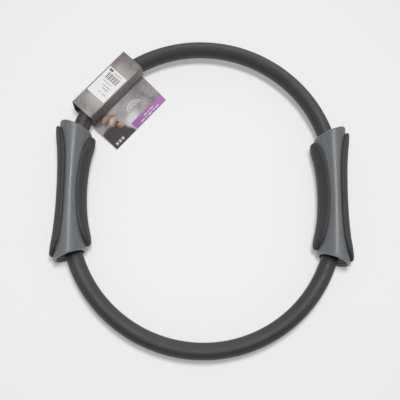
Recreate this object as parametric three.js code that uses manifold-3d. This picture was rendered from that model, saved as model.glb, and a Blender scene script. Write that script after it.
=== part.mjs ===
// Pilates ring: an oval hoop of two spring leaves in a foam sleeve, held by two
// flared two-shell handles with foam pads, and a folded card tag round the hoop.
//
// Millimetres. The ring lies flat: +Z is the ring's normal, +X runs from the left
// handle to the right one, +Y is the ring's long way. The origin is the ring's centre
// on its mid-plane. The ring rests on the flat lands at the handles' flared ends.

import * as THREE from 'three';
import { mergeVertices } from 'three/addons/utils/BufferGeometryUtils.js';
import Module from 'manifold-3d';

const wasm = await Module();
wasm.setup();

// ---------------------------------------------------------------- driving dimensions

const DEG = Math.PI / 180;

// hoop: two arcs of one radius, joined by short straight runs inside the handles
const HOOP_R = 153.3;            // centre-line radius of each arc
const HOOP_DY = 26.9;            // the arcs' centres are at (0, +-HOOP_DY)
const FOAM_R = 9.75;             // foam sleeve's outer radius
const FOAM_SIDES = 16;
const SLOT_HALF_W = 6.4;         // foam's slot for the leaves, half width along Z
const SLOT_HALF_T = 1.9;         // and half thickness
const LEAF_W = 12;               // spring leaf's width along Z
const LEAF_T = 1.3;              // spring leaf's thickness
const LEAF_OFFSET = 0.85;        // leaf's middle to the hoop's centre-line

// flexing points: in the handle's mouth, and at the middle of each arc
const PIVOT_PHI = 12.4;          // degrees along the arc from the handle's middle
const FOAM_END_PHI = 14;         // the sleeve ends this far in
const END_GAP = 0.7;             // leaf's end to the flexing point
const NOTCH_IN = 13.2;           // sleeve's end faces: relief towards the ring's centre, degrees
const NOTCH_OUT = 5.2;           // and away from it
const NOTCH_GAP = 0.35;

// handle shell: an ellipse swept along a slightly bowed line, flared at both ends
const Y_END = 76.2;              // mouth's centre
const XC_MID = 152.2;            // section centre at the waist
const XC_END = 150.5;            // and at the mouth
const TILT = 21.5;               // the mouth's plane is square to the hoop there
const A_MID = 12.6, A_END = 20.6;      // half width in the ring's plane
const B_MID = 19.5, B_END = 25;        // half depth along Z
const LAND = 0.945;              // from here to the mouth the depth is constant
const SHELL_T = 2.4;
const SHELL_SIDES = 20;
const SPLIT_GAP = 0.15;          // each shell stops this far from the mid-plane

// pads
const PAD_GAP = 0.5;
const PAD_HALF = 60;             // half the angle of the section that a pad covers at the waist
// a pad: its end along the handle, the two powers of its outline, and how far its outer face
// stands off the shell from the waist to its end
const OUTER_PAD = {
  end: 0.92, along: 5, round: 2.5,
  at: [0, 0.2, 0.4, 0.6, 0.7, 0.78, 0.86, 1], off: [4.7, 4.7, 4.5, 4.6, 5.0, 5.4, 5.3, 4.6],
};
const INNER_PAD = {
  end: 0.937, along: 2.4, round: 2,
  at: [0, 0.2, 0.4, 0.6, 0.67, 0.78, 0.86, 1], off: [4.9, 4.7, 4.65, 5.2, 5.7, 6.2, 5.8, 4.6],
};

// clamp inside each handle
const BLOCK = { x0: 145.6, x1: 151.4, hy: 36, hz: 10 };
const PLATE = { x0: 155.2, x1: 158.2, hy: 36, hz: 10 };
const BOLT_Y = 22, BOLT_R = 2, BOLT_HOLE_R = 2.4, BOLT_HEAD_R = 3.5, BOLT_HEAD_H = 2.6;

// screws that close the shells, from the rear
const SCREW_Y = 44, SCREW_X_IN = 145.0, SCREW_X_OUT = 158.4;
const SCREW_R = 1.45, SCREW_HOLE_R = 1.8, SCREW_HEAD_R = 2.8, SCREW_HEAD_H = 2.2;
const SCREW_SEAT_Z = -12.6, SCREW_TIP_Z = 9, BORE_R = 3.2;
const BOSS_R = 3.4, BOSS_WIDE_R = 4.5;
const BOSS_MEET_Z = -8;           // the front boss reaches down to here, the rear one up to just below

// tag: a folded card, placed on the hoop's centre-line at TAG_PHI
const TAG_PHI = 138.5;
const TAG_T0 = -44.9, TAG_T1 = 42.1;   // along the hoop
const CARD = 0.5;
const CARD_TOP = 14.4, CARD_BOTTOM = -14.4;   // the folded sleeve's outer faces
const STICKER = { t0: -21.7, t1: 18.05, n0: -14.4, n1: 12.4, h: 0.2 };

// ---------------------------------------------------------------- materials

const plastic = (name) => new THREE.MeshStandardMaterial({ name, color: 0x6c7479, roughness: 0.42, metalness: 0 });
const foam = (name) => new THREE.MeshStandardMaterial({ name, color: 0x3a3939, roughness: 0.85, metalness: 0 });
const padFoam = (name) => new THREE.MeshStandardMaterial({ name, color: 0x3f4043, roughness: 0.9, metalness: 0 });
const steel = (name) => new THREE.MeshStandardMaterial({ name, color: 0x9a9da1, roughness: 0.35, metalness: 0.9 });
const darkPlastic = (name) => new THREE.MeshStandardMaterial({ name, color: 0x2b2d30, roughness: 0.6, metalness: 0 });
const card = (name) => new THREE.MeshStandardMaterial({ name, color: 0x9b9593, roughness: 0.6, metalness: 0 });
const paper = (name) => new THREE.MeshStandardMaterial({ name, color: 0xf4f3f0, roughness: 0.7, metalness: 0 });

// ---------------------------------------------------------------- helpers

function solid(geometry) {
  const g = geometry.clone();
  g.deleteAttribute('normal');
  g.deleteAttribute('uv');
  const m = mergeVertices(g, 1e-4);
  return new wasm.Manifold(new wasm.Mesh({
    numProp: 3,
    vertProperties: new Float32Array(m.attributes.position.array),
    triVerts: new Uint32Array(m.index.array),
  }));
}

function geometryOf(manifold) {
  const out = manifold.getMesh();
  const g = new THREE.BufferGeometry();
  g.setAttribute('position', new THREE.BufferAttribute(new Float32Array(out.vertProperties), 3));
  g.setIndex(new THREE.BufferAttribute(new Uint32Array(out.triVerts), 1));
  g.computeVertexNormals();
  return g;
}

function piece(name, shape, material) {
  const g = shape instanceof THREE.BufferGeometry ? shape : geometryOf(shape);
  const mesh = new THREE.Mesh(g, material);
  mesh.name = name;
  return mesh;
}

// a cylinder along Z or X between two coordinates
function rod(axis, r, p, a, b, sides = 10) {
  const g = new THREE.CylinderGeometry(r, r, Math.abs(b - a), sides, 1);
  if (axis === 'z') g.rotateX(Math.PI / 2); else g.rotateZ(Math.PI / 2);
  const mid = (a + b) / 2;
  if (axis === 'z') g.translate(p[0], p[1], mid); else g.translate(mid, p[0], p[1]);
  return g;
}

function block(x0, x1, y0, y1, z0, z1) {
  const g = new THREE.BoxGeometry(x1 - x0, y1 - y0, z1 - z0);
  g.translate((x0 + x1) / 2, (y0 + y1) / 2, (z0 + z1) / 2);
  return g;
}

// ---------------------------------------------------------------- hoop

class HoopArc extends THREE.Curve {
  constructor(radius, from, to) { super(); this.radius = radius; this.from = from; this.to = to; }
  getPoint(t, target = new THREE.Vector3()) {
    const a = (this.from + (this.to - this.from) * t) * DEG;
    return target.set(this.radius * Math.cos(a), HOOP_DY + this.radius * Math.sin(a), 0);
  }
}

// the hoop's run through the right handle: arc, straight, arc
class HandleRun extends THREE.Curve {
  constructor(radius, phi) {
    super();
    this.radius = radius; this.phi = phi * DEG;
    this.arc = radius * this.phi;
    this.total = 2 * this.arc + 2 * HOOP_DY;
  }
  getPoint(t, target = new THREE.Vector3()) {
    const s = t * this.total;
    if (s < this.arc) {
      const a = -this.phi + s / this.radius;
      return target.set(this.radius * Math.cos(a), -HOOP_DY + this.radius * Math.sin(a), 0);
    }
    if (s > this.arc + 2 * HOOP_DY) {
      const a = (s - this.arc - 2 * HOOP_DY) / this.radius;
      return target.set(this.radius * Math.cos(a), HOOP_DY + this.radius * Math.sin(a), 0);
    }
    return target.set(this.radius, -HOOP_DY + (s - this.arc), 0);
  }
}

function rectangle(halfX, halfY) {
  const s = new THREE.Shape();
  s.moveTo(-halfX, -halfY); s.lineTo(halfX, -halfY); s.lineTo(halfX, halfY); s.lineTo(-halfX, halfY);
  s.closePath();
  return s;
}

function foamSection() {
  const s = new THREE.Shape();
  for (let i = 0; i < FOAM_SIDES; i++) {
    const a = (i / FOAM_SIDES) * 2 * Math.PI;
    const x = FOAM_R * Math.cos(a), y = FOAM_R * Math.sin(a);
    if (i === 0) s.moveTo(x, y); else s.lineTo(x, y);
  }
  s.closePath();
  s.holes.push(rectangle(SLOT_HALF_W, SLOT_HALF_T));
  return s;
}

const ARC_STEP = 5.2;            // degrees between the hoop's cross-sections

// right upper quarter of the sleeve, its upper end relieved about the flexing point
function foamHalf() {
  const to = 92;
  const steps = Math.round((to - FOAM_END_PHI) / ARC_STEP);
  const body = solid(new THREE.ExtrudeGeometry(foamSection(), {
    steps, bevelEnabled: false, extrudePath: new HoopArc(HOOP_R, FOAM_END_PHI, to),
  }));
  const top = HOOP_DY + HOOP_R, reach = FOAM_R + 6;
  const cut = new THREE.Shape();
  cut.moveTo(-30, top - reach);
  cut.lineTo(NOTCH_GAP + reach * Math.tan(NOTCH_IN * DEG), top - reach);
  cut.lineTo(NOTCH_GAP, top);
  cut.lineTo(NOTCH_GAP + reach * Math.tan(NOTCH_OUT * DEG), top + reach);
  cut.lineTo(-30, top + reach);
  cut.closePath();
  const cutter = new THREE.ExtrudeGeometry(cut, { depth: 40, bevelEnabled: false });
  cutter.translate(0, 0, -20);
  return body.subtract(solid(cutter));
}

// right upper quarter of one leaf
function leafHalf(offset) {
  const r = HOOP_R + offset;
  const d = (END_GAP / HOOP_R) / DEG;
  return new THREE.ExtrudeGeometry(rectangle(LEAF_W / 2, LEAF_T / 2), {
    steps: 15, bevelEnabled: false, extrudePath: new HoopArc(r, PIVOT_PHI + d, 90 - d),
  });
}

// one leaf through the right handle, with its two bolt holes
function leafInHandle(offset) {
  const d = (END_GAP / HOOP_R) / DEG;
  let body = solid(new THREE.ExtrudeGeometry(rectangle(LEAF_W / 2, LEAF_T / 2), {
    steps: 10, bevelEnabled: false, extrudePath: new HandleRun(HOOP_R + offset, PIVOT_PHI - d),
  }));
  for (const y of [-BOLT_Y, BOLT_Y]) {
    body = body.subtract(solid(rod('x', BOLT_HOLE_R, [y, 0], HOOP_R - 4, HOOP_R + 4)));
  }
  return body;
}

// ---------------------------------------------------------------- handle

const halfWidth = (s) => A_MID + (A_END - A_MID) * Math.pow(Math.abs(s), 1.8);
// the facet across the crest is flat, so its corners stand on a slightly larger ellipse
const crest = 1 / Math.cos(Math.PI / SHELL_SIDES);
const halfDepth = (s) => (B_MID + (B_END - B_MID) * Math.pow(Math.min(1, Math.abs(s) / LAND), 2.1)) * crest;

// a point of the right handle: s runs from mouth to mouth, alpha round the section,
// out is the distance outside the shell's outer face
function handlePoint(s, alpha, out, target = new THREE.Vector3()) {
  const cx = XC_MID + (XC_END - XC_MID) * Math.pow(Math.abs(s), 1.2);
  const cy = Y_END * s;
  const tilt = TILT * DEG * Math.sign(s) * Math.pow(Math.abs(s), 1.6);
  const w = (halfWidth(s) + out) * Math.cos(alpha);
  return target.set(cx + w * Math.cos(tilt), cy + w * Math.sin(tilt), (halfDepth(s) + out) * Math.sin(alpha));
}

const stations = [-1, -LAND];
for (let i = 1; i < 12; i++) stations.push(-LAND + (2 * LAND * i) / 12);
stations.push(LAND, 1);

// the swept section as one closed body: a cylinder's rings are moved onto it
function sweptHandle(out, over) {
  const rows = stations.length;
  const g = new THREE.CylinderGeometry(1, 1, 2, SHELL_SIDES, rows - 1);
  const pos = g.attributes.position;
  const p = new THREE.Vector3();
  for (let i = 0; i < pos.count; i++) {
    const x = pos.getX(i), y = pos.getY(i), z = pos.getZ(i);
    let row = Math.round(((y + 1) / 2) * (rows - 1));
    let s = stations[row];
    if (row === 0) s -= over;
    if (row === rows - 1) s += over;
    const r = Math.hypot(x, z);
    if (r < 0.5) {
      const a = handlePoint(s, 0, 0), b = handlePoint(s, Math.PI, 0);
      p.addVectors(a, b).multiplyScalar(0.5);
    } else {
      const alpha = Math.atan2(z, x) + Math.PI / SHELL_SIDES;
      handlePoint(s, alpha, out, p);
    }
    pos.setXYZ(i, p.x, p.y, p.z);
  }
  return g;
}

const outerBody = solid(sweptHandle(0, 0));
const innerBody = solid(sweptHandle(-SHELL_T, 0.05));

const screwPlaces = [
  [SCREW_X_IN, SCREW_Y], [SCREW_X_OUT, SCREW_Y], [SCREW_X_IN, -SCREW_Y], [SCREW_X_OUT, -SCREW_Y],
];

function frontShell() {
  let shell = outerBody.subtract(innerBody).intersect(solid(block(100, 200, -120, 120, SPLIT_GAP, 60)));
  for (const p of screwPlaces) shell = shell.add(solid(rod('z', BOSS_R, p, BOSS_MEET_Z, 40, 8)).intersect(outerBody));
  for (const p of screwPlaces) shell = shell.subtract(solid(rod('z', SCREW_HOLE_R, p, BOSS_MEET_Z - 1, SCREW_TIP_Z + 1.5, 8)));
  return shell;
}

function rearShell() {
  let shell = outerBody.subtract(innerBody).intersect(solid(block(100, 200, -120, 120, -60, -SPLIT_GAP)));
  for (const p of screwPlaces) shell = shell.add(solid(rod('z', BOSS_WIDE_R, p, BOSS_MEET_Z - 0.4, -40, 8)).intersect(outerBody));
  for (const p of screwPlaces) {
    shell = shell.subtract(solid(rod('z', SCREW_HOLE_R, p, 1, SCREW_SEAT_Z - 1, 8)));
    shell = shell.subtract(solid(rod('z', BORE_R, p, SCREW_SEAT_Z, -40, 10)));
  }
  return shell;
}

// the value at x of a line through given points
function between(x, at, values) {
  let k = 1;
  while (k < at.length - 1 && x > at[k]) k++;
  return values[k - 1] + (values[k] - values[k - 1]) * (x - at[k - 1]) / (at[k] - at[k - 1]);
}

// a pad wraps one side of the handle: side 0 faces away from the ring's centre, 1 towards it
function pad(side) {
  const spec = side === 0 ? OUTER_PAD : INNER_PAD;
  const along = 12, round = 7;
  const g = new THREE.BoxGeometry(2, 2, 2, 1, along, round);
  const pos = g.attributes.position;
  const p = new THREE.Vector3();
  for (let i = 0; i < pos.count; i++) {
    const w = pos.getX(i), u = Math.sin(pos.getY(i) * Math.PI / 2), v = pos.getZ(i);
    const s = spec.end * u;
    const taper = Math.max(0.36, Math.pow(1 - Math.min(1, Math.pow(Math.abs(u), spec.along)), 1 / spec.round));
    const half = PAD_HALF * DEG * taper;
    const out = w > 0 ? between(Math.abs(s), spec.at, spec.off) : PAD_GAP;
    const alpha = side === 0 ? v * half : Math.PI - v * half;
    handlePoint(s, alpha, out, p);
    pos.setXYZ(i, p.x, p.y, p.z);
  }
  if (side === 1) {
    // the mirrored side turns the faces inside out, so their corners are taken the other way round
    const index = g.index.array;
    for (let i = 0; i < index.length; i += 3) { const t = index[i]; index[i] = index[i + 1]; index[i + 1] = t; }
  }
  return solid(g);
}

function clampBlock() {
  let body = solid(block(BLOCK.x0, BLOCK.x1, -BLOCK.hy, BLOCK.hy, -BLOCK.hz, BLOCK.hz));
  for (const y of [-BOLT_Y, BOLT_Y]) {
    body = body.subtract(solid(rod('x', BOLT_HOLE_R, [y, 0], BLOCK.x0 - 1, BLOCK.x1 + 1)));
  }
  // its outer face steps back where the leaves start to bend inwards
  for (const sy of [-1, 1]) {
    body = body.subtract(solid(block(BLOCK.x1 - 0.9, BLOCK.x1 + 1, sy > 0 ? 28 : -40, sy > 0 ? 40 : -28, -30, 30)));
  }
  return body;
}

function clampPlate() {
  let body = solid(block(PLATE.x0, PLATE.x1, -PLATE.hy, PLATE.hy, -PLATE.hz, PLATE.hz));
  for (const y of [-BOLT_Y, BOLT_Y]) {
    body = body.subtract(solid(rod('x', BOLT_HOLE_R, [y, 0], PLATE.x0 - 1, PLATE.x1 + 1)));
  }
  return body;
}

function clampBolt(y) {
  const x = PLATE.x1 + 0.3;
  const head = solid(rod('x', BOLT_HEAD_R, [y, 0], x, x + BOLT_HEAD_H, 6));
  const shank = solid(rod('x', BOLT_R, [y, 0], BLOCK.x0 + 0.5, x + 1, 8));
  return head.add(shank);
}

function shellScrew(p) {
  const seat = SCREW_SEAT_Z - 0.3;
  const head = solid(rod('z', SCREW_HEAD_R, p, seat, seat - SCREW_HEAD_H, 12));
  const shank = solid(rod('z', SCREW_R, p, seat - 1, SCREW_TIP_Z, 8));
  const under = seat - SCREW_HEAD_H;
  const cross = solid(block(p[0] - 1.7, p[0] + 1.7, p[1] - 0.35, p[1] + 0.35, under - 1, under + 1.1))
    .add(solid(block(p[0] - 0.35, p[0] + 0.35, p[1] - 1.7, p[1] + 1.7, under - 1, under + 1.1)));
  return head.add(shank).subtract(cross);
}

function handle(side) {
  const group = new THREE.Group();
  const add = (name, shape, material) => group.add(piece(`${side}_${name}`, shape, material));
  add('front_shell', frontShell(), plastic('handle_plastic'));
  add('rear_shell', rearShell(), plastic('handle_plastic'));
  add('outer_pad', pad(0), padFoam('pad_foam'));
  add('inner_pad', pad(1), padFoam('pad_foam'));
  add('clamp_block', clampBlock(), darkPlastic('clamp_plastic'));
  add('clamp_plate', clampPlate(), steel('steel'));
  add('leaf_outer', leafInHandle(LEAF_OFFSET), steel('spring_steel'));
  add('leaf_inner', leafInHandle(-LEAF_OFFSET), steel('spring_steel'));
  add('clamp_bolt_upper', clampBolt(side === 'right' ? BOLT_Y : -BOLT_Y), steel('steel'));
  add('clamp_bolt_lower', clampBolt(side === 'right' ? -BOLT_Y : BOLT_Y), steel('steel'));
  screwPlaces.forEach((p, i) => add(`shell_screw_${i + 1}`, shellScrew(p), steel('steel')));
  return group;
}

// ---------------------------------------------------------------- tag

// the card's section across the hoop: n away from the ring's centre, z up
function cardSection() {
  const s = new THREE.Shape();
  const outline = [
    [14.15, CARD_TOP], [-15.2, CARD_TOP], [-16.9, 9], [-17.9, 3], [-17.9, -4], [-16.95, -10], [-15.75, -13.85],
    [-55.05, -23.55], [-55.05, -24.1], [-15.0, CARD_BOTTOM], [14.15, CARD_BOTTOM],
  ];
  outline.forEach(([n, z], i) => (i === 0 ? s.moveTo(n, z) : s.lineTo(n, z)));
  s.closePath();
  const hole = new THREE.Path();
  const inner = [
    [14.15 - CARD, CARD_TOP - CARD], [-14.85, CARD_TOP - CARD], [-16.4, 9], [-17.4, 3], [-17.4, -4], [-16.4, -10],
    [-15.15, CARD_BOTTOM + CARD], [14.15 - CARD, CARD_BOTTOM + CARD],
  ];
  inner.forEach(([n, z], i) => (i === 0 ? hole.moveTo(n, z) : hole.lineTo(n, z)));
  hole.closePath();
  s.holes.push(hole);
  return s;
}

function tag() {
  const group = new THREE.Group();
  const g = new THREE.ExtrudeGeometry(cardSection(), { depth: TAG_T1 - TAG_T0, bevelEnabled: false });
  g.translate(0, 0, TAG_T0);
  // section x is n, section y is z, and the extrusion runs along the hoop
  g.applyMatrix4(new THREE.Matrix4().makeBasis(
    new THREE.Vector3(0, 1, 0), new THREE.Vector3(0, 0, 1), new THREE.Vector3(1, 0, 0)));
  group.add(piece('tag_card', solid(g), card('card')));
  const z = CARD_TOP + 0.1;
  group.add(piece('tag_sticker', block(STICKER.t0, STICKER.t1, STICKER.n0, STICKER.n1, z, z + STICKER.h), paper('sticker')));
  group.position.set(HOOP_R * Math.cos(TAG_PHI * DEG), HOOP_DY + HOOP_R * Math.sin(TAG_PHI * DEG), 0);
  group.rotation.z = (TAG_PHI - 90) * DEG;
  return group;
}

// ---------------------------------------------------------------- assembly

const ring = new THREE.Group();

const quarters = {
  upper_right: [0, 0, 0],
  upper_left: [0, Math.PI, 0],
  lower_left: [0, 0, Math.PI],
  lower_right: [Math.PI, 0, 0],
};
for (const [name, turn] of Object.entries(quarters)) {
  const group = new THREE.Group();
  group.add(piece(`${name}_foam`, foamHalf(), foam('hoop_foam')));
  group.add(piece(`${name}_leaf_outer`, leafHalf(LEAF_OFFSET), steel('spring_steel')));
  group.add(piece(`${name}_leaf_inner`, leafHalf(-LEAF_OFFSET), steel('spring_steel')));
  group.rotation.set(...turn);
  ring.add(group);
}

ring.add(handle('right'));
const left = handle('left');
left.rotation.z = Math.PI;
ring.add(left);
ring.add(tag());

export default ring;
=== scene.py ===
# Looks of the pilates ring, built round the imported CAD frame. Metres in Blender; the
# shapes below are worked out in millimetres and scaled when their meshes are made.

import math

import bmesh
import bpy
import numpy as np
from mathutils import Matrix, Vector, noise


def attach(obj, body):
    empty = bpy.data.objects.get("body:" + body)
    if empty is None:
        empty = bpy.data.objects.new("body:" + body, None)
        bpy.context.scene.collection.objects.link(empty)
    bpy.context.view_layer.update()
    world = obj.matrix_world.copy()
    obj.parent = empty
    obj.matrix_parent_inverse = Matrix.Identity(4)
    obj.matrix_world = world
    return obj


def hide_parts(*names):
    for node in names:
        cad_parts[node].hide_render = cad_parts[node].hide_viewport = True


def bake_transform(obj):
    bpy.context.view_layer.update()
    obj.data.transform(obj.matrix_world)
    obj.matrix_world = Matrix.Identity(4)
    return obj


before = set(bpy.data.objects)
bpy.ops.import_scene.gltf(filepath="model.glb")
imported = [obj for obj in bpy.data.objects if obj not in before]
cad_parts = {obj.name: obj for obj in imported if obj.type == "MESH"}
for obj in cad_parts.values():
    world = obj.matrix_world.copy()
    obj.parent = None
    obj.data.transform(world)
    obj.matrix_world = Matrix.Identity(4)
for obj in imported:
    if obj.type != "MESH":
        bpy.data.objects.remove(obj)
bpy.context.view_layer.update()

DEG = math.pi / 180

# ------------------------------------------------------------------ dimensions (mm), as in the CAD

HOOP_R = 153.3
HOOP_DY = 26.9
FOAM_R = 9.75
SLOT_HALF_W, SLOT_HALF_T = 6.4, 1.9
LEAF_W, LEAF_T, LEAF_OFFSET = 12.0, 1.3, 0.85
PIVOT_PHI, FOAM_END_PHI, END_GAP = 12.4, 14.0, 0.7

Y_END = 76.2
XC_MID, XC_END = 152.2, 150.5
TILT = 21.5
A_MID, A_END = 12.6, 20.6
B_MID, B_END = 19.5, 25.0
LAND = 0.945
SHELL_T = 2.4
SPLIT = 0.12

PAD_HALF = 60.0          # degrees of the section on each side of a pad's middle
# end along the handle, the outline's two powers, and how far the outer face stands off the shell
PADS = {
    "outer": (0.920, 5.0, 2.5, (0, 0.2, 0.4, 0.6, 0.7, 0.78, 0.86, 1), (4.7, 4.7, 4.5, 4.6, 5.0, 5.4, 5.3, 4.6)),
    "inner": (0.937, 2.4, 2.0, (0, 0.2, 0.4, 0.6, 0.67, 0.78, 0.86, 1), (4.9, 4.7, 4.65, 5.2, 5.7, 6.2, 5.8, 4.6)),
}

SCREWS = [(145.0, 44.0), (158.4, 44.0), (145.0, -44.0), (158.4, -44.0)]
SCREW_SEAT_Z, BORE_R = -12.6, 3.2

TAG_PHI = 138.5
TAG_T0, TAG_T1 = -44.9, 42.1

FLOOR_Z = -25.0

# ------------------------------------------------------------------ mesh helpers


def make(name, verts, faces, material=None, smooth=True):
    me = bpy.data.meshes.new(name)
    me.from_pydata((np.asarray(verts, float) * 0.001).tolist(), [], [tuple(int(i) for i in f) for f in faces])
    me.update()
    ob = bpy.data.objects.new(name, me)
    bpy.context.scene.collection.objects.link(ob)
    if material is not None:
        me.materials.append(material)
    me.shade_smooth() if smooth else me.shade_flat()
    return ob


def tidy(ob, merge=0.00001, sharp=None):
    """Welds doubles, points the faces outwards, and marks edges over an angle as sharp."""
    bm = bmesh.new()
    bm.from_mesh(ob.data)
    bmesh.ops.remove_doubles(bm, verts=bm.verts, dist=merge)
    bmesh.ops.dissolve_degenerate(bm, edges=bm.edges, dist=1e-7)
    bmesh.ops.recalc_face_normals(bm, faces=bm.faces)
    if bm.calc_volume(signed=True) < 0:
        bmesh.ops.reverse_faces(bm, faces=bm.faces)
    bm.to_mesh(ob.data)
    bm.free()
    ob.data.update()
    if sharp is not None:
        ob.data.set_sharp_from_angle(angle=sharp * DEG)
    return ob


def turned(ob, name, matrix):
    """A copy of ob whose mesh is turned by a rotation."""
    me = ob.data.copy()
    me.transform(matrix)
    me.update()
    new = bpy.data.objects.new(name, me)
    bpy.context.scene.collection.objects.link(new)
    return new


def ring_faces(rows, cols, flip=False):
    """Quads of a grid of rows x cols, closed round each row."""
    out = []
    for r in range(rows - 1):
        for c in range(cols):
            a, b = r * cols + c, r * cols + (c + 1) % cols
            d, e = a + cols, b + cols
            out.append((a, d, e, b) if flip else (a, b, e, d))
    return out


# ------------------------------------------------------------------ material helpers


class Mat:
    """A material with a Principled shader, and short ways to add nodes to it."""

    def __init__(self, name, colour=(0.5, 0.5, 0.5), roughness=0.5, metallic=0.0, specular=0.5):
        self.mat = bpy.data.materials.new(name)
        self.mat.use_nodes = True
        self.tree = self.mat.node_tree
        self.tree.nodes.clear()
        self.out = self.tree.nodes.new("ShaderNodeOutputMaterial")
        self.bsdf = self.tree.nodes.new("ShaderNodeBsdfPrincipled")
        self.tree.links.new(self.bsdf.outputs[0], self.out.inputs[0])
        self.bsdf.inputs["Base Color"].default_value = (*colour, 1)
        self.bsdf.inputs["Roughness"].default_value = roughness
        self.bsdf.inputs["Metallic"].default_value = metallic
        self.bsdf.inputs["Specular IOR Level"].default_value = specular
        self.mat.diffuse_color = (*colour, 1)
        self._coords = None

    def node(self, kind, inputs=None, **props):
        n = self.tree.nodes.new(kind)
        for k, v in props.items():
            setattr(n, k, v)
        for k, v in (inputs or {}).items():
            self.put(n, k, v)
        return n

    def put(self, n, key, value):
        socket = n.inputs[key]
        if isinstance(value, bpy.types.NodeSocket):
            self.tree.links.new(value, socket)
        else:
            socket.default_value = value

    def coords(self):
        if self._coords is None:
            self._coords = self.node("ShaderNodeTexCoord").outputs["Object"]
        return self._coords

    def noise(self, scale, detail=2.0, rough=0.5, vector=None, distortion=0.0):
        n = self.node("ShaderNodeTexNoise", {
            "Vector": vector or self.coords(), "Scale": scale, "Detail": detail,
            "Roughness": rough, "Distortion": distortion})
        return n.outputs["Fac"]

    def math(self, op, a, b=None, c=None, clamp=False):
        n = self.node("ShaderNodeMath", operation=op, use_clamp=clamp)
        self.put(n, 0, a)
        if b is not None:
            self.put(n, 1, b)
        if c is not None:
            self.put(n, 2, c)
        return n.outputs[0]

    def span(self, value, lo, hi, to_lo=0.0, to_hi=1.0, smooth=False):
        n = self.node("ShaderNodeMapRange", {
            "Value": value, "From Min": lo, "From Max": hi, "To Min": to_lo, "To Max": to_hi},
            interpolation_type="SMOOTHSTEP" if smooth else "LINEAR")
        return n.outputs["Result"]

    def mix(self, factor, a, b, mode="MIX"):
        n = self.node("ShaderNodeMix", data_type="RGBA", blend_type=mode)
        self.put(n, 0, factor)
        self.put(n, 6, a if isinstance(a, bpy.types.NodeSocket) else (*a, 1))
        self.put(n, 7, b if isinstance(b, bpy.types.NodeSocket) else (*b, 1))
        return n.outputs[2]

    def bump(self, height, distance, strength=1.0, normal=None):
        n = self.node("ShaderNodeBump", {"Height": height, "Distance": distance, "Strength": strength})
        if normal is not None:
            self.put(n, "Normal", normal)
        return n.outputs["Normal"]

    def attribute(self, name):
        return self.node("ShaderNodeAttribute", attribute_name=name).outputs["Fac"]

    def set(self, key, value):
        self.put(self.bsdf, key, value)


def lin(r, g, b):
    """sRGB 0-255 to linear."""
    return tuple(((c / 255 + 0.055) / 1.055) ** 2.4 if c > 10.3 else c / 255 / 12.92 for c in (r, g, b))


# ------------------------------------------------------------------ materials


def plastic_material():
    m = Mat("handle_plastic", (0.135, 0.150, 0.158), 0.42)
    cloud = m.noise(38, 3, 0.55)
    fine = m.noise(420, 2, 0.5)
    base = m.mix(m.span(cloud, 0.3, 0.7), (0.148, 0.157, 0.165), (0.164, 0.173, 0.180))
    # edges of the rim and the lips are handled most, and come out a little paler: partly wear, partly a painted
    # highlight where the rounded lip catches light
    wear_and_highlight = m.math("MULTIPLY", m.attribute("rim"), m.span(fine, 0.35, 0.7, 0.7, 1.0))
    # painted shade inside the mouths, where little light comes back out: the wall is painted darkest, and the collar's
    # steps get painted highlights that make their edges paler
    base = m.mix(m.attribute("mouth_shade"), base, (0.020, 0.021, 0.022))
    base = m.mix(m.attribute("collar"), base, (0.26, 0.262, 0.265))
    m.set("Base Color", m.mix(wear_and_highlight, base, (0.36, 0.375, 0.38)))
    m.set("Roughness", m.span(m.math("ADD", m.math("MULTIPLY", cloud, 0.6), m.math("MULTIPLY", fine, 0.4)), 0.3, 0.7, 0.34, 0.44))
    grain = m.noise(2600, 2, 0.6)
    m.set("Normal", m.bump(grain, 0.00006, 0.35, m.bump(cloud, 0.0006, 0.12)))
    return m.mat


def foam_material():
    m = Mat("hoop_foam", (0.030, 0.0285, 0.0275), 0.6)
    cloud = m.noise(30, 3, 0.6)
    mottle = m.noise(260, 3, 0.6)
    mix = m.math("ADD", m.math("MULTIPLY", cloud, 0.5), m.math("MULTIPLY", mottle, 0.5))
    tone = m.mix(m.span(mix, 0.35, 0.65), (0.0245, 0.0232, 0.0227), (0.0335, 0.0318, 0.0305))
    # painted shade: inside the handles' mouths the sleeve is painted near black and its reflection is turned down
    m.set("Base Color", m.mix(m.attribute("entry_shade"), tone, (0.008, 0.008, 0.008)))
    m.set("Roughness", m.span(mottle, 0.3, 0.7, 0.48, 0.60))
    m.set("Specular IOR Level", m.span(m.attribute("entry_shade"), 0, 1, 0.64, 0.12))
    m.set("Sheen Weight", 0.04)
    m.set("Sheen Roughness", 0.5)
    cells = m.node("ShaderNodeTexVoronoi", {"Vector": m.coords(), "Scale": 1500.0, "Randomness": 1.0}).outputs["Distance"]
    skin = m.noise(900, 3, 0.6)
    n = m.bump(m.math("ADD", m.math("MULTIPLY", cells, 0.5), m.math("MULTIPLY", skin, 0.7)), 0.00016, 0.35)
    m.set("Normal", m.bump(mottle, 0.0005, 0.18, n))
    return m.mat


def pad_material():
    m = Mat("pad_foam", (0.034, 0.035, 0.037), 0.66)
    cloud = m.noise(34, 3, 0.6)
    mottle = m.noise(300, 3, 0.6)
    mix = m.math("ADD", m.math("MULTIPLY", cloud, 0.5), m.math("MULTIPLY", mottle, 0.5))
    m.set("Base Color", m.mix(m.span(mix, 0.35, 0.65), (0.0325, 0.0325, 0.0340), (0.0455, 0.0455, 0.0468)))
    m.set("Roughness", m.span(mottle, 0.3, 0.7, 0.58, 0.74))
    m.set("Specular IOR Level", 0.42)
    m.set("Sheen Weight", 0.03)
    m.set("Sheen Roughness", 0.45)
    cells = m.node("ShaderNodeTexVoronoi", {"Vector": m.coords(), "Scale": 1150.0, "Randomness": 1.0}).outputs["Distance"]
    skin = m.noise(700, 3, 0.65)
    n = m.bump(m.math("ADD", m.math("MULTIPLY", cells, 0.6), m.math("MULTIPLY", skin, 0.6)), 0.00022, 0.45)
    m.set("Normal", m.bump(mottle, 0.0006, 0.22, n))
    return m.mat


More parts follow.
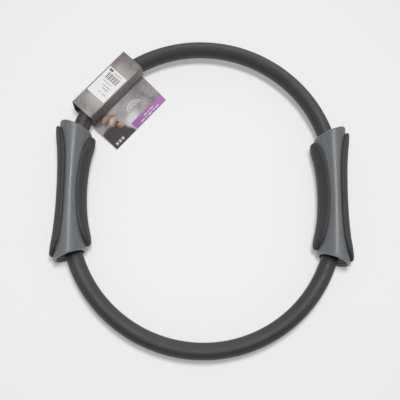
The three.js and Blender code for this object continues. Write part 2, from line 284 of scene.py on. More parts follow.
def steel_material(name, colour, roughness, stretch):
    """Cold-rolled or plated steel: fine lines along one direction, and a few dull patches."""
    m = Mat(name, colour, roughness, metallic=1.0)
    mapping = m.node("ShaderNodeMapping", {"Vector": m.coords(), "Scale": stretch})
    lines = m.noise(60, 4, 0.6, vector=mapping.outputs[0])
    patches = m.noise(90, 2, 0.5)
    m.set("Base Color", m.mix(m.span(lines, 0.3, 0.7), tuple(c * 0.82 for c in colour), colour))
    m.set("Roughness", m.span(m.math("ADD", m.math("MULTIPLY", lines, 0.5), m.math("MULTIPLY", patches, 0.5)), 0.3, 0.7, roughness - 0.08, roughness + 0.1))
    m.set("Normal", m.bump(lines, 0.00004, 0.3))
    return m.mat


def clamp_material():
    m = Mat("clamp_plastic", (0.022, 0.023, 0.025), 0.55)
    speck = m.noise(1400, 3, 0.6)
    m.set("Base Color", m.mix(m.span(speck, 0.35, 0.7), (0.018, 0.019, 0.021), (0.034, 0.035, 0.038)))
    m.set("Roughness", m.span(speck, 0.3, 0.7, 0.48, 0.66))
    m.set("Normal", m.bump(speck, 0.00008, 0.4))
    return m.mat


def tag_frame(m):
    """The tag's own coordinates in millimetres: along the hoop, across it, and up."""
    turn = -(TAG_PHI - 90) * DEG
    cx, cy = HOOP_R * math.cos(TAG_PHI * DEG), HOOP_DY + HOOP_R * math.sin(TAG_PHI * DEG)
    c, s = math.cos(turn), math.sin(turn)
    mapping = m.node("ShaderNodeMapping", {"Vector": m.coords(), "Rotation": (0, 0, turn), "Scale": (1000, 1000, 1000),
                                           "Location": (-(c * cx - s * cy), -(s * cx + c * cy), 0)})
    xyz = m.node("ShaderNodeSeparateXYZ", {"Vector": mapping.outputs[0]})
    return mapping.outputs[0], xyz.outputs[0], xyz.outputs[1], xyz.outputs[2]


def concrete(m, vector, dark, mid, light):
    """Printed plaster-like ground: broad clouds, smears, a fine mottle and specks."""
    broad = m.noise(0.05, 4, 0.6, vector=vector, distortion=0.6)
    smear = m.noise(0.2, 5, 0.66, vector=vector, distortion=1.4)
    mottle = m.noise(0.55, 4, 0.7, vector=vector, distortion=0.4)
    speck = m.noise(1.3, 3, 0.6, vector=vector)
    base = m.mix(m.span(broad, 0.36, 0.64, smooth=True), dark, light)
    base = m.mix(m.span(smear, 0.38, 0.66, 0.0, 0.7), base, mid)
    base = m.mix(m.span(mottle, 0.50, 0.72, 0.0, 0.55), base, tuple(c * 1.35 for c in light))
    base = m.mix(m.span(mottle, 0.48, 0.28, 0.0, 0.5), base, tuple(c * 0.62 for c in dark))
    return m.mix(m.span(speck, 0.55, 0.8, 0.0, 0.3), base, tuple(c * 0.55 for c in dark))


def card_sleeve_material():
    """The printed outside of the folded sleeve."""
    m = Mat("card", (0.3, 0.28, 0.27), 0.45)
    v, t, n, z = tag_frame(m)
    ground = concrete(m, v, lin(96, 88, 86), lin(124, 116, 114), lin(152, 144, 141))
    # paler beside the label, darker towards the outer corners and along the outer edge
    near = m.math("MULTIPLY", m.span(m.math("ABSOLUTE", m.math("ADD", t, 2.0)), 22, 38, 1, 0, True), m.span(n, 12, 4, 0.2, 1, True))
    ground = m.mix(m.math("MULTIPLY", near, 0.62), ground, lin(196, 188, 185))
    corner = m.math("MULTIPLY", m.span(n, -6, 13, 0.15, 1, True), m.span(m.math("ABSOLUTE", t), 18, 44, 0, 1, True))
    ground = m.mix(m.math("MULTIPLY", corner, 0.6), ground, lin(70, 63, 62))
    # the inner side panel is printed darker, brown at its lower end, and mottled
    side = m.span(z, 13.6, 14.0, 1, 0)
    tone = m.mix(m.span(t, -44, 14, 0, 1, True), lin(60, 48, 46), lin(114, 109, 110))
    tone = m.mix(m.span(m.noise(0.5, 5, 0.75, vector=v), 0.46, 0.66, 0, 0.75), tone, lin(150, 143, 142))
    tone = m.mix(m.span(m.noise(0.7, 4, 0.7, vector=v), 0.46, 0.30, 0, 0.6), tone, lin(46, 39, 38))
    # it grows darker towards its foot, where it turns under
    tone = m.mix(m.span(z, -3, -13, 0, 0.55, True), tone, lin(44, 38, 37))
    ground = m.mix(side, ground, tone)
    m.set("Base Color", ground)
    m.set("Roughness", m.span(m.noise(0.7, 2, 0.5, vector=v), 0.3, 0.7, 0.36, 0.5))
    m.set("Normal", m.bump(m.noise(2.2, 3, 0.6, vector=v), 0.00008, 0.25))
    m.set("Coat Weight", 0.15)
    m.set("Coat Roughness", 0.25)
    return m.mat


def card_flap_material():
    """The flap's printed face: plaster ground, a dark foot, rounded stones, ripples, a violet band and plain bars."""
    m = Mat("card_flap", (0.3, 0.28, 0.27), 0.45)
    v, t, n, z = tag_frame(m)
    ground = concrete(m, v, lin(120, 113, 114), lin(154, 148, 149), lin(182, 177, 178))
    # paler towards the middle, and darker at the outer end
    pale = m.math("MULTIPLY", m.span(t, -34, -10, 0, 1, True), m.span(t, 8, 26, 1, 0, True))
    ground = m.mix(m.math("MULTIPLY", pale, 0.5), ground, lin(186, 183, 185))
    ground = m.mix(m.span(t, 20, 42, 0, 0.2, True), ground, lin(104, 98, 98))

    def ellipse(at, an, rt, rn, turn, soft=0.12):
        """1 inside an ellipse, with its own unit coordinates for shading."""
        c, s_ = math.cos(turn * DEG), math.sin(turn * DEG)
        dt, dn = m.math("SUBTRACT", t, at), m.math("SUBTRACT", n, an)
        u = m.math("ADD", m.math("MULTIPLY", dt, c / rt), m.math("MULTIPLY", dn, s_ / rt))
        w = m.math("SUBTRACT", m.math("MULTIPLY", dn, c / rn), m.math("MULTIPLY", dt, s_ / rn))
        r = m.math("SQRT", m.math("ADD", m.math("MULTIPLY", u, u), m.math("MULTIPLY", w, w)))
        return m.span(r, 1.0 - soft, 1.0 + soft, 1, 0, True), r, m.math("ADD", m.math("MULTIPLY", u, 0.6), m.math("MULTIPLY", w, 0.8))

    # dark foot at the lower corner
    wave = m.math("MULTIPLY", m.math("SUBTRACT", m.noise(0.12, 3, 0.5, vector=v), 0.5), 7.0)
    low = m.span(m.math("ADD", n, wave), -33, -29.5, 1, 0, True)
    left = m.span(m.math("ADD", m.math("ADD", t, m.math("MULTIPLY", n, 0.3)), wave), -29.5, -27.5, 1, 0, True)
    foot_tone = m.mix(m.span(m.noise(0.5, 4, 0.6, vector=v), 0.35, 0.65), lin(40, 33, 33), lin(60, 52, 51))
    ground = m.mix(m.math("MULTIPLY", low, left), ground, foot_tone)
    # a dark shade under the fold at the lower end, and a white haze in front of the band
    shade, r, g = ellipse(-34, -17.5, 13.0, 5.5, 0, 0.5)
    ground = m.mix(m.math("MULTIPLY", shade, 0.8), ground, lin(50, 40, 38))
    haze, r, g = ellipse(-4.0, -42.0, 10.0, 6.0, 12, 0.55)
    ground = m.mix(m.math("MULTIPLY", haze, 0.85), ground, lin(228, 228, 231))
    # a few rounded stones, lit from one side
    for at, an, rt, rn, turn, lit, dull in (
            (-29.5, -22.5, 6.2, 3.9, 24, lin(176, 144, 120), lin(84, 62, 54)),
            (-18.5, -22.0, 5.2, 3.3, -12, lin(206, 174, 150), lin(122, 92, 76)),
            (-24.5, -29.5, 5.6, 3.6, 40, lin(214, 186, 164), lin(128, 98, 82)),
            (-20.0, -38.0, 4.4, 3.4, -30, lin(190, 156, 132), lin(98, 74, 64))):
        inside, r, g = ellipse(at, an, rt, rn, turn)
        grain = m.math("MULTIPLY", m.noise(0.9, 3, 0.6, vector=v), 0.5)
        tone = m.mix(m.span(m.math("ADD", g, grain), -0.75, 0.9, 0, 1, True), dull, lit)
        ground = m.mix(inside, ground, tone)
    # violet band along the free edge, from the right corner
    band = m.math("MULTIPLY", m.span(n, -45.6, -45.3, 1, 0), m.span(m.math("ADD", t, m.math("MULTIPLY", wave, 0.4)), -10.2, -8.8, 0, 1))
    violet = m.mix(m.span(t, -9, 42, 0, 1), lin(160, 98, 166), lin(184, 122, 188))
    ground = m.mix(band, ground, violet)

    def bar(t0, t1, n0, n1, soft=0.12):
        a = m.math("MULTIPLY", m.span(t, t0 - soft, t0 + soft), m.span(t, t1 - soft, t1 + soft, 1, 0))
        b = m.math("MULTIPLY", m.span(n, n0 - soft, n0 + soft), m.span(n, n1 - soft, n1 + soft, 1, 0))
        return m.math("MULTIPLY", a, b)

    white = lin(240, 236, 238)
    # rows of plain dashes on the band
    for row, dashes in ((-49.3, ((9.0, 13.5), (15.0, 17.2), (18.6, 24.5))), (-52.3, ((0.5, 7.0), (8.4, 11.0), (12.6, 19.4), (21.0, 24.0), (25.4, 31.5)))):
        for t0, t1 in dashes:
            ground = m.mix(m.math("MULTIPLY", bar(t0, t1, row - 0.62, row + 0.62), 0.85), ground, white)
    for k in range(3):
        ground = m.mix(m.math("MULTIPLY", bar(-41.0 + 4.9 * k, -37.8 + 4.9 * k, -52.2, -49.0), 0.85), ground, lin(226, 221, 219))
    # ripples: three plain arcs about one point
    dt, dn = m.math("SUBTRACT", t, 8.0), m.math("SUBTRACT", n, -35.0)
    dist = m.math("SQRT", m.math("ADD", m.math("MULTIPLY", dt, dt), m.math("MULTIPLY", m.math("MULTIPLY", dn, dn), 1.7)))
    above = m.span(dn, 0.5, 1.5, 0, 1)
    for radius in (4.0, 7.0, 10.0):
        line = m.span(m.math("ABSOLUTE", m.math("SUBTRACT", dist, radius)), 0.45, 0.75, 1, 0)
        ground = m.mix(m.math("MULTIPLY", m.math("MULTIPLY", line, above), 0.92), ground, white)
    m.set("Base Color", ground)
    m.set("Roughness", m.span(m.noise(0.7, 2, 0.5, vector=v), 0.3, 0.7, 0.34, 0.48))
    m.set("Normal", m.bump(m.noise(2.2, 3, 0.6, vector=v), 0.00008, 0.25))
    m.set("Coat Weight", 0.15)
    m.set("Coat Roughness", 0.25)
    return m.mat


def card_plain_material(name, a, b):
    m = Mat(name, a, 0.7)
    fibre = m.noise(700, 4, 0.65)
    m.set("Base Color", m.mix(m.span(fibre, 0.3, 0.7), a, b))
    m.set("Roughness", m.span(fibre, 0.3, 0.7, 0.6, 0.8))
    m.set("Normal", m.bump(fibre, 0.00012, 0.4))
    return m.mat


def sticker_material():
    """A white paper label with plain grey bars on it."""
    m = Mat("sticker", (0.9, 0.895, 0.88), 0.5)
    v, t, n, z = tag_frame(m)
    paper = m.mix(m.span(m.noise(0.8, 3, 0.6, vector=v), 0.3, 0.7), (0.85, 0.845, 0.835), (0.92, 0.915, 0.905))

    def box(t0, t1, n0, n1, soft=0.1):
        a = m.math("MULTIPLY", m.span(t, t0 - soft, t0 + soft), m.span(t, t1 - soft, t1 + soft, 1, 0))
        b = m.math("MULTIPLY", m.span(n, n0 - soft, n0 + soft), m.span(n, n1 - soft, n1 + soft, 1, 0))
        return m.math("MULTIPLY", a, b)

    grey = paper
    # a block of upright bars of uneven width, and plain rules beside it
    mask = None
    for at, width in ((-8.6, 1.1), (-6.6, 0.8), (-4.7, 1.3), (-2.6, 0.7), (-0.9, 1.2), (1.2, 0.8), (3.0, 1.3), (5.0, 0.7), (6.8, 1.2)):
        one = box(3.2, 11.8, at - width * 0.5, at + width * 0.5, 0.12)
        mask = one if mask is None else m.math("MAXIMUM", mask, one)
    grey = m.mix(m.math("MULTIPLY", mask, 0.9), grey, lin(48, 48, 50))
    for t0, n0, n1, dark in ((14.0, -9.0, 2.4, 0.6), (-0.6, -6.0, 6.4, 0.5), (-5.2, -8.2, 3.4, 0.6), (-8.6, -8.2, 0.6, 0.65),
                             (-14.6, -9.2, -4.2, 0.6), (-14.6, -2.6, 2.0, 0.5)):
        grey = m.mix(m.math("MULTIPLY", box(t0, t0 + 1.1, n0, n1), dark), grey, lin(84, 84, 86))
    grey = m.mix(m.math("MULTIPLY", box(13.4, 16.6, 5.0, 10.2, 0.3), 0.9), grey, lin(60, 60, 62))
    m.set("Base Color", grey)
    m.set("Roughness", m.span(m.noise(1.2, 2, 0.5, vector=v), 0.3, 0.7, 0.42, 0.55))
    m.set("Normal", m.bump(m.noise(3.0, 3, 0.6, vector=v), 0.00005, 0.25))
    return m.mat


PLASTIC = plastic_material()
FOAM = foam_material()
PAD = pad_material()
SPRING = steel_material("spring_steel", (0.32, 0.33, 0.35), 0.34, (1, 1, 14))
STEEL = steel_material("steel", (0.52, 0.53, 0.55), 0.3, (1, 1, 6))
CLAMP = clamp_material()
CARD_SLEEVE = card_sleeve_material()
CARD_FLAP = card_flap_material()
CARD_INSIDE = card_plain_material("card_inside", lin(96, 89, 86), lin(122, 115, 111))
CARD_EDGE = card_plain_material("card_edge", lin(176, 170, 166), lin(206, 201, 197))
STICKER = sticker_material()

# ------------------------------------------------------------------ hoop: sleeves and spring leaves


def hoop_axis(phi, sign):
    """Centre and outward direction on one arc, phi in degrees from +X."""
    a = phi * DEG
    centre = np.array([HOOP_R * math.cos(a), sign * HOOP_DY + HOOP_R * math.sin(a), 0.0])
    return centre, np.array([math.cos(a), math.sin(a), 0.0])


def sleeve(name, sign):
    """A whole foam sleeve: a round tube with a slot through it for the two leaves."""
    sides = 64
    beta = np.arange(sides) / sides * 2 * math.pi
    cb, sb = np.cos(beta), np.sin(beta)
    power = 2 / 7
    slot_n = SLOT_HALF_T * np.sign(cb) * np.abs(cb) ** power
    slot_z = SLOT_HALF_W * np.sign(sb) * np.abs(sb) ** power
    steps = 230
    rows = []

    def station(phi):
        return hoop_axis(phi if sign > 0 else -phi, sign)

    def outer(phi, r):
        c, e = station(phi)
        pts = []
        for k in range(sides):
            x, z = cb[k], sb[k]
            d = 0.05 * noise.noise(Vector((c[0] * 0.045 + 3.1 * sign, c[1] * 0.045, z * 0.9))) \
                + 0.035 * noise.noise(Vector(((c[0] + x * 9) * 0.22, (c[1] + x * 9) * 0.22, z * 2.2 + 5)))
            q = c + e * ((r + d) * x)
            pts.append((q[0], q[1], (r + d) * z))
        return pts

    def inner(phi):
        c, e = station(phi)
        return [tuple(c + e * slot_n[k] + np.array([0, 0, slot_z[k]])) for k in range(sides)]

    start, end = FOAM_END_PHI, 180 - FOAM_END_PHI
    per_mm = 1 / (HOOP_R * DEG)
    edge = 0.9
    rows.append(inner(start))
    for k in range(1, 6):
        g = k / 5 * math.pi / 2
        rows.append(outer(start + edge * (1 - math.sin(g)) * per_mm, FOAM_R - edge * (1 - math.cos(math.pi / 2 - g))))
    for k in range(1, steps):
        rows.append(outer(start + edge * per_mm + (end - start - 2 * edge * per_mm) * k / steps, FOAM_R))
    for k in range(5, 0, -1):
        g = k / 5 * math.pi / 2
        rows.append(outer(end - edge * (1 - math.sin(g)) * per_mm, FOAM_R - edge * (1 - math.cos(math.pi / 2 - g))))
    rows.append(inner(end))
    for k in range(1, 60):
        rows.append(inner(end + (start - end) * k / 60))
    verts = [p for row in rows for p in row]
    n = len(rows)
    faces = ring_faces(n, sides)
    last = (n - 1) * sides
    for c in range(sides):
        faces.append((last + c, last + (c + 1) % sides, (c + 1) % sides, c))
    ob = tidy(make(name, verts, faces, FOAM), sharp=50)
    # vertex attribute for painted shade: entry is 1 inside the handles' mouths, where the sleeve is painted dark, and
    # fades out just past them
    co = np.zeros(len(ob.data.vertices) * 3)
    ob.data.vertices.foreach_get("co", co)
    x, y, z = (co.reshape(-1, 3) * 1000).T
    past = (np.abs(y) - Y_END) * math.cos(TILT * DEG) - (np.abs(x) - XC_END) * math.sin(TILT * DEG)
    k = np.clip((4.5 - past) / 8.0, 0, 1)
    attr = ob.data.attributes.new("entry_shade", "FLOAT", "POINT")
    attr.data.foreach_set("value", (k * k * (3 - 2 * k)).astype(np.float32))
    return ob


def leaf(name, sign, offset):
    """One spring leaf of an arc: a strip with rounded edges."""
    prof = []
    hw, ht, r = LEAF_W / 2, LEAF_T / 2, 0.45
    for cx, cz, a0 in ((ht - r, hw - r, 0), (-ht + r, hw - r, 90), (-ht + r, -hw + r, 180), (ht - r, -hw + r, 270)):
        for k in range(5):
            a = (a0 + 90 * k / 4) * DEG
            prof.append((cx + r * math.cos(a), cz + r * math.sin(a)))
    cols = len(prof)
    end = PIVOT_PHI + END_GAP / (HOOP_R * DEG)
    steps = 150
    verts = []
    for k in range(steps + 1):
        phi = end + (180 - 2 * end) * k / steps
        c, e = hoop_axis(phi if sign > 0 else -phi, sign)
        for n, z in prof:
            q = c + e * (offset + n)
            verts.append((q[0], q[1], z))
    faces = ring_faces(steps + 1, cols)
    faces.append(tuple(range(cols)))
    faces.append(tuple(range(steps * cols, (steps + 1) * cols)))
    ob = make(name, verts, faces, SPRING)
    return tidy(ob, sharp=40)


for half, sign in (("upper", 1), ("lower", -1)):
    tube = sleeve(f"{half}_foam_sleeve", sign)
    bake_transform(tube)
    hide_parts(f"{half}_left_foam", f"{half}_right_foam")
    for which, offset in (("outer", LEAF_OFFSET), ("inner", -LEAF_OFFSET)):
        strip = leaf(f"{half}_spring_leaf_{which}", sign, offset)
        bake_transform(strip)
        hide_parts(f"{half}_left_leaf_{which}", f"{half}_right_leaf_{which}")

# ------------------------------------------------------------------ handles: the shells


def half_width(s):
    return A_MID + (A_END - A_MID) * abs(s) ** 1.8


def half_depth(s):
    return B_MID + (B_END - B_MID) * min(1.0, abs(s) / LAND) ** 2.1


def handle_point(s, alpha, out):
    """A point of the right handle: s from mouth to mouth, alpha round the section."""
    cx = XC_MID + (XC_END - XC_MID) * abs(s) ** 1.2
    tilt = TILT * DEG * (1 if s >= 0 else -1) * abs(s) ** 1.6
    w = (half_width(s) + out) * math.cos(alpha)
    return (cx + w * math.cos(tilt), Y_END * s + w * math.sin(tilt), (half_depth(s) + out) * math.sin(alpha))


def tube_centre(s):
    """Where the hoop's centre-line crosses the handle's section at s, measured across it."""
    cx = XC_MID + (XC_END - XC_MID) * abs(s) ** 1.2
    tilt = TILT * DEG * (1 if s >= 0 else -1) * abs(s) ** 1.6
    dy = HOOP_DY if s >= 0 else -HOOP_DY
    w = 0.0
    for _ in range(30):
        x, y = cx + w * math.cos(tilt), Y_END * s + w * math.sin(tilt)
        w -= (math.hypot(x, y - dy) - HOOP_R)
    return w


# the steps of the moulded collar in each mouth: depth below the rim, share of the room up to the hoop
STEPS = ((1.7, 0.26), (3.7, 0.50), (5.8, 0.74), (8.0, 1.0))
STEPS_END = 9.6
CLEAR = 0.8              # gap kept round the sleeve
PIVOT_DEPTH = 17.0       # where the hoop flexes, below the rim


def room_left(x, z, centre, depth):
    """Distance from a point of the mouth's wall to the space that the sleeve needs as it flexes."""
    dist = math.hypot(x - centre, z)
    cb, sb = (x - centre) / dist, z / dist
    swing = (0.2126 if cb > 0 else 0.07) * max(0.0, PIVOT_DEPTH - depth)
    r = FOAM_R + CLEAR
    need = swing * abs(cb) + math.sqrt(max(0.0, r * r - (swing * sb) ** 2))
    return dist - max(r, need), dist


def rounding(alpha):
    """Radius of the rim's outer edge: larger where the mouth's outline turns its corners."""
    return 1.7 + 1.7 * abs(math.cos(alpha)) ** 3


def shell_half(name, side):
    """The front (side 1) or rear (side -1) half of the right handle's shell, with a stepped collar in its mouths."""
    cols = 72
    # depths below the mouth: the rim's own steps first, then the collar and the wall behind it
    rim_in = [0.0, 0.06, 0.18, 0.36, 0.6, 0.85, 1.15]
    rib_steps = [d + e for d in [d for d, _ in STEPS] + [STEPS_END] for e in (-0.1, 0.1)]
    deeper = list(np.linspace(15.2, Y_END, 36))
    base = sorted(rim_in + rib_steps + [2.7, 4.7, 6.9, 8.8, 11.4, 13.0, (1 - LAND) * Y_END + 0.01] + deeper)
    gammas = [90, 79, 68, 57, 46, 35, 24, 12, 0]
    tubes = {}

    def reach_of(s, alpha, offset, depth):
        """How far the collar's step reaches from the wall towards the hoop, and the wall's distance from it."""
        share = 0.0
        for d, part in STEPS:
            if depth > d:
                share = part
        if not share or depth > STEPS_END:
            return 0.0, 1.0
        if s not in tubes:
            tubes[s] = tube_centre(s)
        c = math.cos(alpha)
        lo, hi = (0.62, 0.92) if side > 0 else (-0.5, 0.35)
        k = min(1.0, max(0.0, (c - lo) / (hi - lo)))
        k = k * k * (3 - 2 * k)
        x, z = (half_width(s) + offset) * c, (half_depth(s) + offset) * math.sin(alpha)
        room, dist = room_left(x, z, tubes[s], depth)
        return max(0.0, room) * share * k, dist

    def column(alpha_share):
        """Outer and inner points of one column, from the lower mouth to the upper one."""
        r_out = rounding(math.pi * alpha_share)
        lip = r_out + 0.95
        outer = [r_out * (1 - math.sin(g * DEG)) for g in gammas] + base[len(gammas):]

        def at(s, offset, depth=None):
            b = half_depth(s)
            edge = math.asin(min(0.9, SPLIT / (b + offset)))
            alpha = edge + (math.pi - 2 * edge) * alpha_share
            if side < 0:
                alpha = -alpha
            reach, dist = reach_of(s, alpha, offset, depth) if depth is not None else (0.0, 1.0)
            if not reach:
                return handle_point(s, alpha, offset)
            # the collar reaches from the wall towards the hoop, and stays on its own side of the split
            tilt = TILT * DEG * (1 if s >= 0 else -1) * abs(s) ** 1.6
            x, z = (half_width(s) + offset) * math.cos(alpha), (b + offset) * math.sin(alpha)
            share = reach / dist
            x, z = x + (tubes[s] - x) * share, z * (1 - share)
            z = side * max(abs(z), SPLIT)
            cx = XC_MID + (XC_END - XC_MID) * abs(s) ** 1.2
            return (cx + x * math.cos(tilt), Y_END * s + x * math.sin(tilt), z)

        def outside(sign, depth):
            out = 0.0
            if depth < r_out:
                k = 1 - depth / r_out
                out = -r_out * (1 - math.sqrt(max(0.0, 1 - k * k)))
            return at(sign * (1 - depth / Y_END), out)

        def inside(sign, depth):
            wall = SHELL_T + (lip - SHELL_T) * (0.5 + 0.5 * math.cos(math.pi * min(1.0, depth / 2.8)))
            if depth < 0.8:
                k = 1 - depth / 0.8
                wall -= 0.8 * (1 - math.sqrt(max(0.0, 1 - k * k)))
            return at(sign * (1 - depth / Y_END), -wall, depth)

        out_pts = [outside(-1, d) for d in outer] + [outside(1, d) for d in reversed(outer[:-1])]
        in_pts = [inside(-1, d) for d in base] + [inside(1, d) for d in reversed(base[:-1])]
        return out_pts, in_pts

    grid_out, grid_in = [], []
    for c in range(cols + 1):
        share = 0.5 - 0.5 * math.cos(math.pi * c / cols) * 1.0
        share = 0.35 * share + 0.65 * c / cols
        o, i = column(share)
        grid_out.append(o)
        grid_in.append(i)
    m = len(grid_out[0])
    assert all(len(x) == m for x in grid_out)
    verts = [p for col in grid_out for p in col] + [p for col in grid_in for p in col]
    base = (cols + 1) * m
    faces = []
    for c in range(cols):
        for r in range(m - 1):
            a = c * m + r
            faces.append((a, a + 1, a + m + 1, a + m))
            faces.append((base + a, base + a + m, base + a + m + 1, base + a + 1))
        for r in (0, m - 1):
            a = c * m + r
            q = (a, a + m, base + a + m, base + a)
            faces.append(q if r == 0 else q[::-1])
    for c in (0, cols):
        for r in range(m - 1):
            a = c * m + r
            q = (a, base + a, base + a + 1, a + 1)
            faces.append(q if c == 0 else q[::-1])
    ob = make(name, verts, faces, PLASTIC)
    return tidy(ob, 0.000004)


def shape_of(name, sides, rings):
    """A turned solid along Z: rings of (x, y, z, radius)."""
    verts, faces = [], []
    for x, y, z, r in rings:
        for k in range(sides):
            a = 2 * math.pi * k / sides
            verts.append((x + r * math.cos(a), y + r * math.sin(a), z))
    faces = ring_faces(len(rings), sides)
    faces.append(tuple(range(sides)))
    faces.append(tuple(range((len(rings) - 1) * sides, len(rings) * sides)))
    return tidy(make(name, verts, faces, PLASTIC))


def boolean(ob, other, operation, solver="FAST"):
    """Cuts other out of ob, or joins it on. Where a cut leaves open edges, other is turned a little and cut again."""
    middle = sum((v.co for v in other.data.vertices), Vector()) / len(other.data.vertices)
    for turn in (0.0, 2.3, 4.1, 5.7, 7.9, 9.2):
        spin = Matrix.Translation(middle) @ Matrix.Rotation(turn * DEG, 4, "Z") @ Matrix.Translation(-middle)
        other.matrix_world = spin
        mod = ob.modifiers.new("cut", "BOOLEAN")
        mod.operation = operation
        mod.object = other
        mod.solver = solver
        bpy.context.view_layer.update()
        dg = bpy.context.evaluated_depsgraph_get()
        me = bpy.data.meshes.new_from_object(ob.evaluated_get(dg), depsgraph=dg)
        ob.modifiers.clear()
        bm = bmesh.new()
        bm.from_mesh(me)
        open_edges = sum(1 for e in bm.edges if len(e.link_faces) != 2)
        bm.free()
        if not open_edges or turn == 9.2:
            break
        bpy.data.meshes.remove(me)
    if open_edges:
        print("cut left", open_edges, "open edges on", ob.name)
    old = ob.data
    ob.data = me
    bpy.data.meshes.remove(old)
    data = other.data
    bpy.data.objects.remove(other)
    bpy.data.meshes.remove(data)
    return ob


def wall_height(x, y, out):
    """z of the right handle's front surface over (x, y), at an offset from its outer face."""
    s, alpha = y / Y_END, math.pi / 2
    for _ in range(40):
        px, py, pz = handle_point(s, alpha, out)
        s += (y - py) / Y_END
        alpha += (px - x) / max(6.0, half_width(s)) * 0.8
    return handle_point(s, alpha, out)[2]


def boss(name, x, y, side, r, end, sides=28):
    """A screw boss that grows from inside the wall down to its end."""
    verts = []
    for k in range(sides):
        a = 2 * math.pi * k / sides
        px, py = x + r * math.cos(a), y + r * math.sin(a)
        verts.append((px, py, side * (wall_height(px, py, -1.1))))
    for k in range(sides):
        a = 2 * math.pi * k / sides
        verts.append((x + r * math.cos(a), y + r * math.sin(a), end))
    faces = ring_faces(2, sides)
    faces.append(tuple(range(sides, 2 * sides)))
    top = len(verts)
    verts.append((x, y, side * wall_height(x, y, -1.1)))
    for k in range(sides):
        faces.append((k, (k + 1) % sides, top))
    return tidy(make(name, verts, faces, PLASTIC))


def paint_rim(ob):
    """Vertex attributes: rim on the mouths' lips (wear and painted highlight), collar for painted highlights on the
    steps' edges, and painted shade inside the mouths.
    """
    me = ob.data
    n = len(me.vertices)
    co = np.zeros(n * 3)
    me.vertices.foreach_get("co", co)
    x, y, z = (co.reshape(-1, 3) * 1000).T
    s = y / Y_END
    for _ in range(20):
        size = np.minimum(np.abs(s), 1.1)
        t = TILT * DEG * np.sign(s) * size ** 1.6
        w = (x - (XC_MID + (XC_END - XC_MID) * size ** 1.2)) / np.cos(t)
        s = (y - w * np.sin(t)) / Y_END
    size = np.minimum(np.abs(s), 1.0)
    depth = (1 - np.abs(s)) * Y_END
    section = np.hypot(w / (A_MID + (A_END - A_MID) * size ** 1.8), z / (B_MID + (B_END - B_MID) * np.minimum(1, size / LAND) ** 2.1))
    # the lips are painted paler, partly wear and partly a painted highlight where the rounded lip catches light;
    # widest at the corners
    corner = np.clip(1 - np.abs(z) / 22, 0, 1)
    rim = np.clip(1 - depth / (1.3 + 2.4 * corner), 0, 1) * (section > 0.8)
    inside = (section < 0.9) & (depth > 1.0) & (depth < STEPS_END + 0.05)
    step = section < 0.80
    # painted shade inside the mouths, lighter on the collar's steps
    mouth_shade = np.clip((depth - 0.7) / 0.8, 0, 1) * np.clip((24 - depth) / 8, 0, 1) * (section < 0.93) * np.where(step & inside, 0.22, 1.0)
    # painted highlight on the collar's steps, strongest along their edges
    edge = np.zeros(n)
    for d, _ in STEPS:
        edge = np.maximum(edge, np.clip(1 - np.abs(depth - d - 0.1) / 0.12, 0, 1))
    collar = np.where(inside & step, 0.12 + 0.7 * edge, 0.0)
    for name, values in (("rim", rim), ("collar", collar), ("mouth_shade", mouth_shade)):
        attr = me.attributes.new(name, "FLOAT", "POINT")
        attr.data.foreach_set("value", values.astype(np.float32))


def build_shells():
    front = shell_half("right_shell_front", 1)
    rear = shell_half("right_shell_rear", -1)
    for i, (x, y) in enumerate(SCREWS):
        boolean(front, boss("boss", x, y, 1, 3.4, -8.0), "UNION")
        boolean(front, shape_of("hole", 20, [(x, y, -9.0, 1.6), (x, y, 10.5, 1.6)]), "DIFFERENCE")
        boolean(rear, boss("boss", x, y, -1, 4.5, -8.4), "UNION")
        deep = wall_height(x, y, 0)
        # screw bore: a seat for the head, and a slightly wider mouth at the surface
        boolean(rear, shape_of("bore", 40, [
            (x, y, SCREW_SEAT_Z, BORE_R), (x, y, -deep - 3.0, BORE_R)]), "DIFFERENCE")
        boolean(rear, shape_of("hole", 20, [(x, y, SCREW_SEAT_Z - 0.5, 1.8), (x, y, -7.0, 1.8)]), "DIFFERENCE")
    for ob in (front, rear):
        tidy(ob, 0.000002, sharp=38)
        paint_rim(ob)
        ob.data.materials.clear()
        ob.data.materials.append(PLASTIC)
    return front, rear


HALF_TURN = Matrix.Rotation(math.pi, 4, "Z")
right_front, right_rear = build_shells()
left_front = turned(right_front, "left_shell_front", HALF_TURN)
left_rear = turned(right_rear, "left_shell_rear", HALF_TURN)
for ob, body, node in ((right_front, "right_handle", "right_front_shell"), (right_rear, "right_handle", "right_rear_shell"),
                       (left_front, "left_handle", "left_front_shell"), (left_rear, "left_handle", "left_rear_shell")):
    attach(ob, body)
    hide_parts(node)

# ------------------------------------------------------------------ handles: the pads

ROUND_RATE = 17.2        # mm round the section per radian, about


def pad_outline(side):
    """The pad's outline as (mm along the handle, mm round it), evenly spaced, from one tip round to it again."""
    end, p, q = PADS[side][:3]
    t = np.linspace(0, math.pi / 2, 3000)
    x = end * Y_END * np.cos(t) ** (2 / p)
    y = PAD_HALF * DEG * ROUND_RATE * np.sin(t) ** (2 / q)
    run = np.concatenate([[0], np.cumsum(np.hypot(np.diff(x), np.diff(y)))])
    at = np.linspace(0, run[-1], 73)
    x, y = np.interp(at, run, x), np.interp(at, run, y)
    quarter = np.stack([x, y], 1)
    half = np.vstack([quarter, quarter[-2::-1] * [-1, 1]])
    return np.vstack([half, half[-2:0:-1] * [1, -1]])


